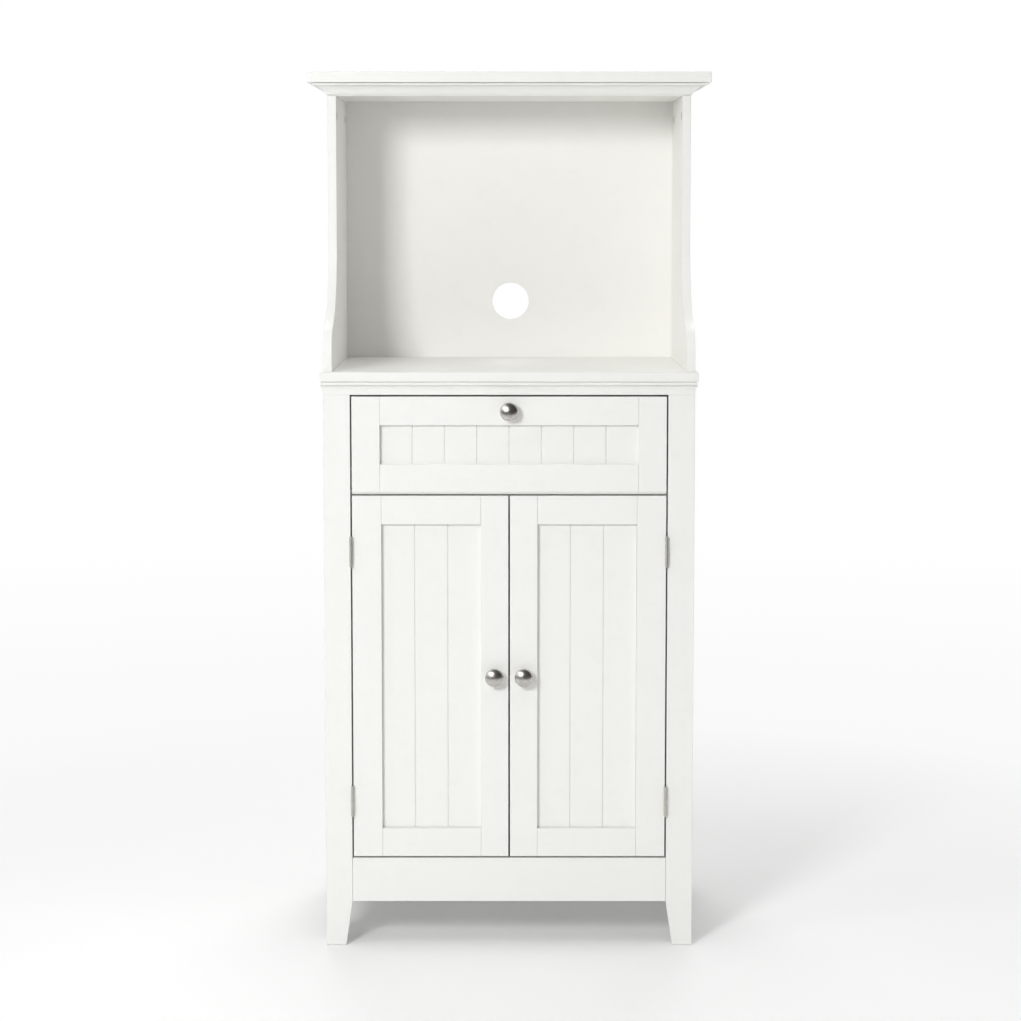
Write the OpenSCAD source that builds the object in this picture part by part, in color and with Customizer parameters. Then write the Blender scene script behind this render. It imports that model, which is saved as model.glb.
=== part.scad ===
// Microwave cabinet: an open bay with moulded crown over a drawer and a pair of doors.
// X runs to the viewer's right, Y away from the viewer and Z up. Sizes are in millimetres.
// Everything is drawn with the post faces on the plane Y = 0, and placed() then moves it
// so that the origin lies on the floor, at the centre of the whole cabinet.

/* [Cabinet] */
// Width over the side panels
body_w = 635; // [580:5:760]
// Depth from the post faces to the rear edges of the side panels
body_d = 420; // [400:5:480]
// Height of the worktop's upper face
counter_z = 1000; // [920:5:1080]
// Clear height of the microwave bay
bay_h = 473; // [400:1:560]
// Thickness of side panels, floor, divider and shelf
panel_t = 15; // [12:0.5:18]
// Thickness of posts, rails and door frames
face_t = 18; // [16:0.5:22]
// Thickness of both back panels
back_t = 4; // [3:0.5:6]

/* [Posts and rail] */
// Width of each front post
post_w = 45.6; // [40:0.2:60]
// Width of each foot at the floor
foot_w = 34; // [26:0.5:38]
// Height of the opening under the bottom rail
foot_h = 78.5; // [60:0.5:100]
// Height of the bottom rail
rail_h = 76.5; // [50:0.5:100]

/* [Worktop] */
// Thickness of the worktop slab
counter_t = 16.5; // [12:0.5:20]
// How far the slab stands past the case at the front and sides
counter_lip = 5; // [4:0.5:8]
// Height of the moulding strips under the slab
counter_strip_h = 22.5; // [20:0.5:32]

/* [Crown] */
// Thickness of the board over the bay
crown_board_t = 22; // [22:0.5:28]
// Thickness of the top slab
crown_slab_t = 18.5; // [15:0.5:22]
// How far the top slab stands past the bay's sides
crown_lip = 33.3; // [28:0.1:45]
// Width of the slope cut under the crown
crown_slope_w = 14; // [10:0.5:16]
// Height of that slope
crown_slope_h = 12.8; // [9:0.2:13]

/* [Bay sides] */
// Set-back of the bay sides' upper part from the post faces
bay_setback = 150; // [120:1:180]
// Height of the sides' upright foot part over the worktop
swoop_z = 30; // [20:1:80]
// Radius of the outward turn at the front of the curve
nose_r = 45; // [8:0.5:60]
// Angle swept by both arcs of the curve
swoop_a = 75; // [60:1:88]
// Distance of the sides' lower front edge behind the post faces
bay_front = 5; // [2:0.5:12]

/* [Cord hole] */
// Radius of the hole in the bay's back
cord_r = 34; // [25:0.5:40]
// Height of its centre over the worktop
cord_z = 105; // [80:1:160]
// Its distance to the right of the middle
cord_x = 2; // [0:0.5:20]

/* [Drawer and doors] */
// Height of the drawer front
drawer_h = 168; // [150:1:190]
// Gap beside and between the doors and the drawer front
front_gap = 2.6; // [2.5:0.1:3]
// Gap between the drawer front and the doors
mid_gap = 2.4; // [2:0.1:4]
// Gap over the drawer and under the doors
end_gap = 3.1; // [2:0.1:4]
// Width of the frame stiles
stile_w = 48; // [42:0.5:56]
// Width of the frame rails
frame_rail_w = 49; // [42:0.5:52]
// Thickness of the beadboard
bead_t = 6; // [5:0.5:7]
// Depth of the beadboard's face behind the frame's face
bead_recess = 8; // [5:0.5:9]
// Width of each V groove in the beadboard
vee_w = 3.2; // [2:0.2:5]
// Number of boards across the drawer
drawer_boards = 8; // [6:1:10]
// Number of boards across each door
door_boards = 3; // [2:1:5]

/* [Drawer box] */
// Thickness of the drawer box's boards
box_t = 12; // [10:0.5:14]
// Height of the drawer box
box_h = 116; // [90:1:118]
// Length of the drawer box behind its front
box_d = 340; // [300:5:350]
// Thickness of the drawer bottom
box_bottom_t = 4; // [3:0.5:6]
// Width of each drawer slide
slide_w = 12.7; // [12.7:0.1:13.5]
// Radius of the slide rollers
roller_r = 8; // [7:0.5:9]

/* [Hardware] */
// Radius of the knobs
knob_r = 16; // [12:0.5:18]
// How far the knobs stand out
knob_out = 26; // [22:0.5:32]
// Height of the door knobs
door_knob_z = 475; // [420:1:560]
// Length of each hinge
hinge_h = 52; // [45:0.5:64]
// Distance from a door's end to the middle of its hinge
hinge_in = 97; // [80:1:130]
// Radius of the hinge barrel
barrel_r = 3.1; // [2.8:0.1:3.6]
// Thickness of the hinge leaves
leaf_t = 1.1; // [0.9:0.1:1.1]
// Height of the shelf's underside
shelf_z = 452; // [400:1:520]

/* [Hidden] */
$fn = 64;
eps = 0.5;
// clearances
turn_gap = 0.05;
side_gap = 0.3;
stop_gap = 0.3;
shelf_gap = 1;
// glue line left in each mitred corner of the moulding strips
mitre_gap = 0.2;
// case
half_w = body_w / 2;
inner_x = half_w - panel_t;
post_x = half_w - post_w;
rail_top = foot_h + rail_h;
strip_z = counter_z - counter_t - counter_strip_h;
drawer_top = strip_z - end_gap;
drawer_z = drawer_top - drawer_h;
door_top = drawer_z - mid_gap;
door_z = rail_top + end_gap;
door_h = door_top - door_z;
door_w = (2 * post_x - 3 * front_gap) / 2;
drawer_w = 2 * post_x - 2 * front_gap;
divider_z = (drawer_z + door_top - panel_t) / 2;
divider_y = face_t + stop_gap;
bay_top = counter_z + bay_h;
mid_y = (body_d + back_t - knob_out) / 2;
back_x = half_w - 1;
foot_d = foot_w + face_t;
stretcher_h = 60;
// worktop strips
bead_r = 2.4;
strip_face = 0.5;
quirk_z = counter_strip_h - 2 * bead_r - 1;
// crown strips
crown_strip_h = crown_board_t - 3.1;
crown_strip_z = bay_top + crown_board_t - crown_strip_h;
crown_flat = 1;
crown_bead_r = 2.3;
crown_fillet = 3.5;
crown_slope_u = crown_fillet + crown_slope_w;
crown_bead_u = crown_slope_u + 5.7;
crown_strip_w = crown_bead_u + crown_bead_r;
crown_z = bay_top + crown_board_t;
// bay sides
swoop_run = bay_setback - bay_front;
cove_r = swoop_run / (1 - cos(swoop_a)) - nose_r;
nose_z = counter_z + swoop_z;
cove_y = bay_setback - cove_r;
cove_z = nose_z + (cove_r + nose_r) * sin(swoop_a);
nose_y = bay_front + nose_r;
meet_y = cove_y + cove_r * cos(swoop_a);
// cam locks
cam_r = 7.5;
cam_t = 12;
cam_drop = 34;
cam_front = 22;
cam_rear = 34;
cam_gap = 0.1;
// framed fronts
groove_d = 8;
tongue = 7.5;
// drawer box and slides
box_x = post_x - slide_w;
box_y = face_t;
box_z = divider_z + panel_t + 4;
box_groove = 5;
bottom_z = box_z + 8;
steel_t = 1.2;
channel_z = box_z + 2;
channel_y = face_t + 4;
channel_h = 2 * roller_r + 4.9;
channel_w = slide_w - 3.3;
track_z = channel_z + steel_t;
runner_roller_z = track_z + side_gap + roller_r;
flange_z = runner_roller_z + roller_r + 0.5;
flange_w = slide_w - 3 * steel_t - 0.6;
channel_roller_z = flange_z - side_gap - roller_r;
channel_roller_y = channel_y + roller_r + 4;
runner_roller_y = box_y + box_d - roller_r - 4;
axle_r = 2;
axle_head_r = 3.2;
axle_head_t = 1;
roller_t = 6;
roller_side = 0.5;
cleat_h = 42;
// shelf
pin_r = 2.5;
pin_gap = 0.1;
pin_deep = 8;
pin_tab = 9;
pin_tab_h = 4;
pin_pitch = 32;
pin_front = 70;
pin_rear = body_d - 70;
// hinges
axis_x = post_x - front_gap / 2;
axis_y = -(barrel_r + side_gap);
pin_shaft_r = 1.5;
pin_head_r = 2.6;
pin_head_t = 1.4;
knuckles = 5;
knuckle_h = hinge_h / knuckles;
leaf_d = 16;
hinge_low_z = door_z + hinge_in - hinge_h / 2;
hinge_high_z = door_top - hinge_in - hinge_h / 2;
// knobs
knob_x = front_gap / 2 + stile_w / 2;
drawer_knob_z = drawer_top - frame_rail_w / 2;
knob_base_r = 8.5;
knob_neck_r = 6.5;
knob_rim_t = 5;
knob_dome = 5;
dome_r = (knob_r * knob_r + knob_dome * knob_dome) / (2 * knob_dome);
screw_r = 2;
screw_hole_r = 2.4;
screw_head_r = 4;
screw_head_t = 2.4;
screw_in = 10;
// catch
catch_w = 46;
catch_h = 15;
catch_d = 14;
strike_w = 16;
strike_h = 13;
strike_t = 1;
strike_x = 12;

// ---------- helpers ----------

// moves the assembly from the post faces to the row's origin
module placed() {
  translate([0, -mid_y, 0]) children();
}

// a block between two opposite corners
module block(low, high) {
  translate(low) cube(high - low);
}

// the same thing on the right-hand side
module right_hand() {
  mirror([1, 0, 0]) children();
}

// a round bar along Y, from y0 to y1
module bar_y(x, z, r, y0, y1) {
  translate([x, y0, z]) rotate([-90, 0, 0]) cylinder(r = r, h = y1 - y0);
}

// a round bar along X, from x0 to x1
module bar_x(y, z, r, x0, x1) {
  translate([x0, y, z]) rotate([0, 90, 0]) cylinder(r = r, h = x1 - x0);
}

// a round bar along Z, from z0 to z1
module bar_z(x, y, r, z0, z1) {
  translate([x, y, z0]) cylinder(r = r, h = z1 - z0);
}

// ---------- case ----------

// left case side with its foot cut-out, shelf-pin holes behind the post
module side_panel() {
  difference() {
    block([-half_w, face_t, 0], [-inner_x, body_d, strip_z]);
    translate([-half_w - eps, 0, 0]) rotate([90, 0, 90])
      linear_extrude(panel_t + 2 * eps)
        polygon([
          [foot_d - 12, -eps], [foot_d, foot_h],
          [body_d - foot_w, foot_h], [body_d - foot_w + 12, -eps]
        ]);
    for (y = [pin_front, pin_rear], n = [-2:2])
      bar_x(y, shelf_z - pin_r + n * pin_pitch, pin_r + pin_gap,
        -inner_x - pin_deep - 2, -inner_x + eps);
  }
}

// left post with the foot tapering in from the rail
module front_post() {
  translate([0, face_t, 0]) rotate([90, 0, 0]) linear_extrude(face_t)
    polygon([
      [-half_w, 0], [-half_w + foot_w, 0], [-post_x, foot_h],
      [-post_x, strip_z], [-half_w, strip_z]
    ]);
}

module side_panel_left() { color("white") placed() side_panel(); }
module side_panel_right() { color("white") placed() right_hand() side_panel(); }
module front_post_left() { color("white") placed() front_post(); }
module front_post_right() { color("white") placed() right_hand() front_post(); }

module bottom_rail() {
  color("white") placed()
    block([-post_x, 0, foot_h], [post_x, face_t, rail_top]);
}

module cabinet_floor() {
  color("white") placed()
    block([-inner_x, face_t, rail_top - panel_t], [inner_x, body_d, rail_top]);
}

module divider_board() {
  color("white") placed()
    block([-inner_x, divider_y, divider_z], [inner_x, body_d, divider_z + panel_t]);
}

module rear_stretcher() {
  color("white") placed()
    block([-inner_x, body_d - panel_t, counter_z - counter_t - stretcher_h],
      [inner_x, body_d, counter_z - counter_t]);
}

module lower_back() {
  color("white") placed()
    block([-back_x, body_d, foot_h + 20],
      [back_x, body_d + back_t, counter_z - counter_t / 2 - eps]);
}

// ---------- worktop ----------

module counter_slab() {
  color("white") placed()
    block([-half_w - counter_lip, -counter_lip, counter_z - counter_t],
      [half_w + counter_lip, body_d, counter_z]);
}

// strip section: u out from the case face, v up from the strip's foot
module counter_section() {
  union() {
    polygon([
      [-panel_t, 0], [strip_face, 0], [strip_face, quirk_z - 10.2],
      [strip_face + 0.7, quirk_z - 4.7], [2.7, quirk_z - 0.6], [2.7, quirk_z],
      [1, quirk_z], [1, counter_strip_h], [-panel_t, counter_strip_h]
    ]);
    translate([1, counter_strip_h - bead_r - 1]) circle(r = bead_r);
    translate([0, counter_strip_h - 1]) square([2.4, 1]);
  }
}

// left strip, mitred where it meets the front one
module counter_side_strip() {
  difference() {
    translate([-half_w, body_d, strip_z]) rotate([90, 0, 0])
      linear_extrude(body_d + counter_lip) mirror([1, 0]) counter_section();
    mitre_block(-half_w - counter_lip, -counter_lip, 60);
  }
}

// everything in front of the 45 degree plane through a corner
module mitre_block(x, y, s) {
  translate([x, y, strip_z - eps]) rotate([0, 0, 45])
    translate([-s, mitre_gap / 2 - 2 * s, 0]) cube([3 * s, 2 * s, bay_h + 200]);
}

module counter_front_strip() {
  difference() {
    translate([-half_w - counter_lip, 0, strip_z]) rotate([90, 0, 90])
      linear_extrude(body_w + 2 * counter_lip) mirror([1, 0]) counter_section();
    behind_mitre(-half_w - counter_lip, -counter_lip, 60);
    right_hand() behind_mitre(-half_w - counter_lip, -counter_lip, 60);
  }
}

// everything behind the same plane
module behind_mitre(x, y, s) {
  translate([x, y, strip_z - eps]) rotate([0, 0, 45])
    translate([-s, -mitre_gap / 2, 0]) cube([3 * s, 2 * s, bay_h + 200]);
}

module counter_moulding() {
  color("white") placed() {
    counter_front_strip();
    counter_side_strip();
    right_hand() counter_side_strip();
  }
}

// ---------- microwave bay ----------

// side outline: y back from the post faces, z up
module bay_outline() {
  difference() {
    translate([bay_front, counter_z]) square([body_d - bay_front, bay_h]);
    translate([bay_front - eps, cove_z])
      square([swoop_run + eps, bay_top - cove_z + eps]);
    translate([cove_y, cove_z]) circle(r = cove_r);
    difference() {
      translate([bay_front - eps, nose_z])
        square([meet_y - bay_front + eps, cove_z - nose_z]);
      translate([nose_y, nose_z]) circle(r = nose_r);
    }
  }
}

module hutch_side() {
  difference() {
    translate([-half_w, 0, 0]) rotate([90, 0, 90])
      linear_extrude(panel_t) bay_outline();
    for (y = [bay_setback + cam_front, body_d - cam_rear])
      bar_x(y, bay_top - cam_drop, cam_r + cam_gap, -inner_x - cam_t, -inner_x + eps);
  }
}

module hutch_side_left() { color("white") placed() hutch_side(); }
module hutch_side_right() { color("white") placed() right_hand() hutch_side(); }

module hutch_back() {
  color("white") placed() difference() {
    block([-back_x, body_d, counter_z - counter_t / 2 + eps],
      [back_x, body_d + back_t, crown_z - 5]);
    bar_y(cord_x, counter_z + cord_z, cord_r, body_d - eps, body_d + back_t + eps);
  }
}

// one disc with a crossed slot in its face
module cam_lock(y) {
  difference() {
    bar_x(y, bay_top - cam_drop, cam_r, -inner_x - cam_t, -inner_x);
    block([-inner_x - 3, y - 4, bay_top - cam_drop - 0.8],
      [-inner_x + eps, y + 4, bay_top - cam_drop + 0.8]);
    block([-inner_x - 3, y - 0.8, bay_top - cam_drop - 4],
      [-inner_x + eps, y + 0.8, bay_top - cam_drop + 4]);
  }
}

module cam_locks() {
  color("silver") placed()
    for (y = [bay_setback + cam_front, body_d - cam_rear]) {
      cam_lock(y);
      right_hand() cam_lock(y);
    }
}

// ---------- crown ----------

module crown_board() {
  color("white") placed()
    block([-half_w, bay_setback, bay_top], [half_w, body_d, crown_z]);
}

// strip section: u out from the board's edge, v up from the strip's foot
module crown_section() {
  difference() {
    union() {
      square([crown_bead_u - 0.8, crown_strip_h]);
      translate([crown_bead_u, crown_strip_h - crown_bead_r])
        circle(r = crown_bead_r);
    }
    polygon([
      [crown_fillet, -eps], [crown_fillet, crown_flat],
      [crown_slope_u, crown_flat + crown_slope_h],
      [crown_strip_w, crown_flat + crown_slope_h], [crown_strip_w, -eps]
    ]);
  }
}

module crown_side_strip() {
  difference() {
    translate([-half_w, body_d, crown_strip_z]) rotate([90, 0, 0])
      linear_extrude(body_d - bay_setback + crown_strip_w)
        mirror([1, 0]) crown_section();
    mitre_block(-half_w, bay_setback, 60);
  }
}

module crown_front_strip() {
  difference() {
    translate([-half_w - crown_strip_w, bay_setback, crown_strip_z])
      rotate([90, 0, 90]) linear_extrude(body_w + 2 * crown_strip_w)
        mirror([1, 0]) crown_section();
    behind_mitre(-half_w, bay_setback, 60);
    right_hand() behind_mitre(-half_w, bay_setback, 60);
  }
}

module crown_moulding() {
  color("white") placed() {
    crown_front_strip();
    crown_side_strip();
    right_hand() crown_side_strip();
  }
}

module crown_slab() {
  color("white") placed()
    block([-half_w - crown_lip, bay_setback - crown_lip, crown_z],
      [half_w + crown_lip, body_d, crown_z + crown_slab_t]);
}

// ---------- shelf ----------

module shelf() {
  color("white") placed()
    block([-inner_x + shelf_gap, face_t + 20, shelf_z],
      [inner_x - shelf_gap, body_d - shelf_gap, shelf_z + panel_t]);
}

// round spigot in the side, flat tab under the shelf
module shelf_pin(y) {
  bar_x(y, shelf_z - pin_r, pin_r, -inner_x - pin_deep, -inner_x);
  block([-inner_x, y - 5, shelf_z - pin_tab_h], [-inner_x + pin_tab, y + 5, shelf_z]);
}

module shelf_pins() {
  color("silver") placed()
    for (y = [pin_front, pin_rear]) {
      shelf_pin(y);
      right_hand() shelf_pin(y);
    }
}

// ---------- drawer slides ----------

module slide_cleat() {
  block([-inner_x, face_t, divider_z + panel_t],
    [-post_x, body_d - panel_t, divider_z + panel_t + cleat_h]);
}

module slide_cleats() {
  color("white") placed() {
    slide_cleat();
    right_hand() slide_cleat();
  }
}

// left cabinet member: a channel with the front roller's axle
module slide_channel() {
  block([-post_x, channel_y, channel_z],
    [-post_x + steel_t, channel_y + box_d, channel_z + channel_h]);
  block([-post_x, channel_y, channel_z],
    [-post_x + channel_w, channel_y + box_d, track_z]);
  block([-post_x, channel_y + 4 * roller_r, channel_z + channel_h - steel_t],
    [-post_x + channel_w, channel_y + box_d, channel_z + channel_h]);
  bar_x(channel_roller_y, channel_roller_z, axle_r, -post_x,
    -post_x + steel_t + roller_t + 2 * roller_side + axle_head_t);
  bar_x(channel_roller_y, channel_roller_z, axle_head_r,
    -post_x + steel_t + roller_t + 2 * roller_side,
    -post_x + steel_t + roller_t + 2 * roller_side + axle_head_t);
}

module slide_channel_left() { color("silver") placed() slide_channel(); }
module slide_channel_right() { color("silver") placed() right_hand() slide_channel(); }

// left drawer member: an angle on the drawer side with the rear roller's axle
module drawer_runner() {
  block([-box_x - steel_t, box_y + 2, channel_z + 1],
    [-box_x, box_y + box_d, flange_z + steel_t]);
  block([-box_x - steel_t - flange_w, box_y + 2, flange_z],
    [-box_x, box_y + box_d, flange_z + steel_t]);
  bar_x(runner_roller_y, runner_roller_z, axle_r,
    -box_x - steel_t - roller_t - 2 * roller_side - axle_head_t, -box_x);
  bar_x(runner_roller_y, runner_roller_z, axle_head_r,
    -box_x - steel_t - roller_t - 2 * roller_side - axle_head_t,
    -box_x - steel_t - roller_t - 2 * roller_side);
}

module drawer_runner_left() { color("silver") placed() drawer_runner(); }
module drawer_runner_right() { color("silver") placed() right_hand() drawer_runner(); }

// a wheel on an axle along X, from x0
module roller(x0, y, z) {
  difference() {
    bar_x(y, z, roller_r, x0, x0 + roller_t);
    bar_x(y, z, axle_r + turn_gap, x0 - eps, x0 + roller_t + eps);
  }
}

module channel_roller() {
  roller(-post_x + steel_t + roller_side, channel_roller_y, channel_roller_z);
}

module runner_roller() {
  roller(-box_x - steel_t - roller_side - roller_t, runner_roller_y, runner_roller_z);
}

module channel_roller_left() { color("white") placed() channel_roller(); }
module channel_roller_right() { color("white") placed() right_hand() channel_roller(); }
module runner_roller_left() { color("white") placed() runner_roller(); }
module runner_roller_right() { color("white") placed() right_hand() runner_roller(); }

// ---------- framed fronts ----------
// each is drawn with its lower left front corner at the origin

// slot for the panel, cut through the stated block's full length
module panel_slot(low, high) {
  block([low[0], bead_recess, low[1]], [high[0], bead_recess + bead_t, high[1]]);
}

// left stile, full height, grooved on its right edge
module frame_stile(h) {
  difference() {
    cube([stile_w, face_t, h]);
    panel_slot([stile_w - groove_d, -eps], [stile_w + eps, h + eps]);
  }
}

// both rails between the stiles, with tenons in the stiles' grooves
module frame_rails(w, h) {
  for (z = [0, h - frame_rail_w])
    difference() {
      union() {
        block([stile_w, 0, z], [w - stile_w, face_t, z + frame_rail_w]);
        panel_slot([stile_w - groove_d, z], [w - stile_w + groove_d, z + frame_rail_w]);
      }
      if (z == 0)
        panel_slot([stile_w - groove_d - eps, frame_rail_w - groove_d],
          [w - stile_w + groove_d + eps, frame_rail_w + eps]);
      else
        panel_slot([stile_w - groove_d - eps, z - eps],
          [w - stile_w + groove_d + eps, z + groove_d]);
    }
}

// grooved panel held by the frame
module beadboard(w, h, boards) {
  seen = w - 2 * stile_w;
  difference() {
    panel_slot([stile_w - tongue, frame_rail_w - tongue],
      [w - stile_w + tongue, h - frame_rail_w + tongue]);
    for (n = [1:boards - 1])
      translate([stile_w + n * seen / boards, bead_recess, frame_rail_w])
        rotate([0, 0, 45])
          translate([-vee_w / sqrt(8), -vee_w / sqrt(8), 0])
            cube([vee_w / sqrt(2), vee_w / sqrt(2), h - 2 * frame_rail_w]);
  }
}

// turned knob at the origin, standing out along -Y
module knob() {
  rotate([90, 0, 0]) difference() {
    union() {
      cylinder(r = knob_base_r, h = 2.5);
      cylinder(r1 = knob_neck_r, r2 = knob_neck_r - 0.5, h = 9);
      translate([0, 0, 8])
        cylinder(r1 = knob_neck_r, r2 = knob_r - 1, h = knob_out - 18);
      translate([0, 0, knob_out - knob_dome - knob_rim_t])
        cylinder(r = knob_r, h = knob_rim_t);
      intersection() {
        translate([0, 0, knob_out - knob_dome - 1])
          cylinder(r = knob_r, h = knob_dome + 1);
        translate([0, 0, knob_out - dome_r]) sphere(r = dome_r);
      }
    }
    translate([0, 0, -eps]) cylinder(r = screw_r + turn_gap, h = screw_in + 2 + eps);
  }
}
// screw through a frame member into the knob
module knob_screw() {
  bar_y(0, 0, screw_r, -screw_in, face_t);
  difference() {
    bar_y(0, 0, screw_head_r, face_t, face_t + screw_head_t);
    block([-3, face_t + 1, -0.5], [3, face_t + screw_head_t + eps, 0.5]);
    block([-0.5, face_t + 1, -3], [0.5, face_t + screw_head_t + eps, 3]);
  }
}

// ---------- drawer ----------

module at_drawer() {
  placed() translate([-drawer_w / 2, 0, drawer_z]) children();
}

module drawer_front_stiles() {
  color("white") at_drawer() {
    frame_stile(drawer_h);
    translate([drawer_w, 0, 0]) right_hand() frame_stile(drawer_h);
  }
}

module drawer_front_rails() {
  color("white") difference() {
    at_drawer() frame_rails(drawer_w, drawer_h);
    placed() bar_y(0, drawer_knob_z, screw_hole_r, -eps, face_t + eps);
  }
}

module drawer_beadboard() {
  color("white") at_drawer() beadboard(drawer_w, drawer_h, drawer_boards);
}

module drawer_box_front() {
  color("wheat") placed() difference() {
    block([-box_x + box_t, box_y, box_z], [box_x - box_t, box_y + box_t, box_z + box_h]);
    block([-box_x, box_y + box_t - box_groove, bottom_z],
      [box_x, box_y + box_t + eps, bottom_z + box_bottom_t]);
  }
}

module drawer_side() {
  difference() {
    block([-box_x, box_y, box_z], [-box_x + box_t, box_y + box_d, box_z + box_h]);
    block([-box_x + box_t - box_groove, box_y + box_t - box_groove, bottom_z],
      [-box_x + box_t + eps, box_y + box_d + eps, bottom_z + box_bottom_t]);
  }
}

module drawer_side_left() { color("wheat") placed() drawer_side(); }
module drawer_side_right() { color("wheat") placed() right_hand() drawer_side(); }

module drawer_box_back() {
  color("wheat") placed()
    block([-box_x + box_t, box_y + box_d - box_t, bottom_z + box_bottom_t],
      [box_x - box_t, box_y + box_d, box_z + box_h]);
}

module drawer_bottom() {
  color("white") placed()
    block([-box_x + box_t - box_groove, box_y + box_t - box_groove, bottom_z],
      [box_x - box_t + box_groove, box_y + box_d, bottom_z + box_bottom_t]);
}

module drawer_knob() {
  color("silver") placed() translate([0, 0, drawer_knob_z]) knob();
}

module drawer_knob_screw() {
  color("gray") placed() translate([0, 0, drawer_knob_z]) knob_screw();
}

// ---------- doors ----------

// the left door's corner; the right door is its mirror image
module at_door() {
  placed() translate([-post_x + front_gap, 0, door_z]) children();
}

module door_hinge_stile() { at_door() frame_stile(door_h); }

module door_knob_stile() {
  difference() {
    at_door() translate([door_w, 0, 0]) right_hand() frame_stile(door_h);
    placed() bar_y(-knob_x, door_knob_z, screw_hole_r, -eps, face_t + eps);
  }
}

module door_rails() { at_door() frame_rails(door_w, door_h); }

module door_panel() { at_door() beadboard(door_w, door_h, door_boards); }

module door_knob() { placed() translate([-knob_x, 0, door_knob_z]) knob(); }

module door_knob_screw() { placed() translate([-knob_x, 0, door_knob_z]) knob_screw(); }

module door_strike() {
  placed() block([-strike_x - strike_w / 2, face_t, divider_z - 1 - strike_h],
    [-strike_x + strike_w / 2, face_t + strike_t, divider_z - 1]);
}

// one hinge leaf at height z: plate in the gap, knuckles of one parity round the pin
// side is -1 for the post's leaf and 1 for the door's
module hinge_leaf(z, side, first) {
  plate_x = side < 0 ? -front_gap / 2 : front_gap / 2 - leaf_t;
  translate([-axis_x, axis_y, z]) difference() {
    union() {
      block([plate_x, barrel_r + side_gap, 0],
        [plate_x + leaf_t, barrel_r + side_gap + leaf_d, hinge_h]);
      for (n = [first:2:knuckles - 1]) {
        low = n * knuckle_h + (n == 0 ? 0 : side_gap / 2);
        high = (n + 1) * knuckle_h - (n == knuckles - 1 ? 0 : side_gap / 2);
        bar_z(0, 0, barrel_r, low, high);
        block([plate_x, 0, low], [plate_x + leaf_t, barrel_r + side_gap + eps, high]);
      }
    }
    bar_z(0, 0, pin_shaft_r + turn_gap, -eps, hinge_h + eps);
  }
}

// pin with a head at the top and a tip below
module hinge_pin(z) {
  bar_z(-axis_x, axis_y, pin_shaft_r, z - 1, z + hinge_h);
  bar_z(-axis_x, axis_y, pin_head_r, z + hinge_h, z + hinge_h + pin_head_t);
}

module left_post_leaves() {
  for (z = [hinge_low_z, hinge_high_z]) hinge_leaf(z, -1, 0);
}

module left_pins() {
  for (z = [hinge_low_z, hinge_high_z]) hinge_pin(z);
}

module left_door_leaves() {
  for (z = [hinge_low_z, hinge_high_z]) hinge_leaf(z, 1, 1);
}

module post_hinge_leaves() {
  color("silver") placed() {
    left_post_leaves();
    right_hand() left_post_leaves();
  }
}

module hinge_pins() {
  color("silver") placed() {
    left_pins();
    right_hand() left_pins();
  }
}

module magnetic_catch() {
  color("white") placed()
    block([-catch_w / 2, face_t + strike_t + stop_gap, divider_z - catch_h],
      [catch_w / 2, face_t + strike_t + stop_gap + catch_d, divider_z]);
}

module door_left_hinge_stile() { color("white") door_hinge_stile(); }
module door_left_knob_stile() { color("white") door_knob_stile(); }
module door_left_rails() { color("white") door_rails(); }
module door_left_beadboard() { color("white") door_panel(); }
module door_left_hinge_leaves() { color("silver") placed() left_door_leaves(); }
module door_left_knob() { color("silver") door_knob(); }
module door_left_knob_screw() { color("gray") door_knob_screw(); }
module door_left_strike() { color("gray") door_strike(); }

module door_right_hinge_stile() { color("white") right_hand() door_hinge_stile(); }
module door_right_knob_stile() { color("white") right_hand() door_knob_stile(); }
module door_right_rails() { color("white") right_hand() door_rails(); }
module door_right_beadboard() { color("white") right_hand() door_panel(); }
module door_right_hinge_leaves() {
  color("silver") placed() right_hand() left_door_leaves();
}
module door_right_knob() { color("silver") right_hand() door_knob(); }
module door_right_knob_screw() { color("gray") right_hand() door_knob_screw(); }
module door_right_strike() { color("gray") right_hand() door_strike(); }

side_panel_left();
side_panel_right();
front_post_left();
front_post_right();
bottom_rail();
cabinet_floor();
divider_board();
rear_stretcher();
lower_back();
counter_slab();
counter_moulding();
hutch_side_left();
hutch_side_right();
hutch_back();
crown_board();
crown_moulding();
crown_slab();
cam_locks();
shelf();
shelf_pins();
slide_cleats();
slide_channel_left();
slide_channel_right();
magnetic_catch();
post_hinge_leaves();
hinge_pins();
drawer_front_stiles();
drawer_front_rails();
drawer_beadboard();
drawer_box_front();
drawer_side_left();
drawer_side_right();
drawer_box_back();
drawer_bottom();
drawer_runner_left();
drawer_runner_right();
drawer_knob();
drawer_knob_screw();
channel_roller_left();
channel_roller_right();
runner_roller_left();
runner_roller_right();
door_left_hinge_stile();
door_left_knob_stile();
door_left_rails();
door_left_beadboard();
door_left_hinge_leaves();
door_left_knob();
door_left_knob_screw();
door_left_strike();
door_right_hinge_stile();
door_right_knob_stile();
door_right_rails();
door_right_beadboard();
door_right_hinge_leaves();
door_right_knob();
door_right_knob_screw();
door_right_strike();
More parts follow.
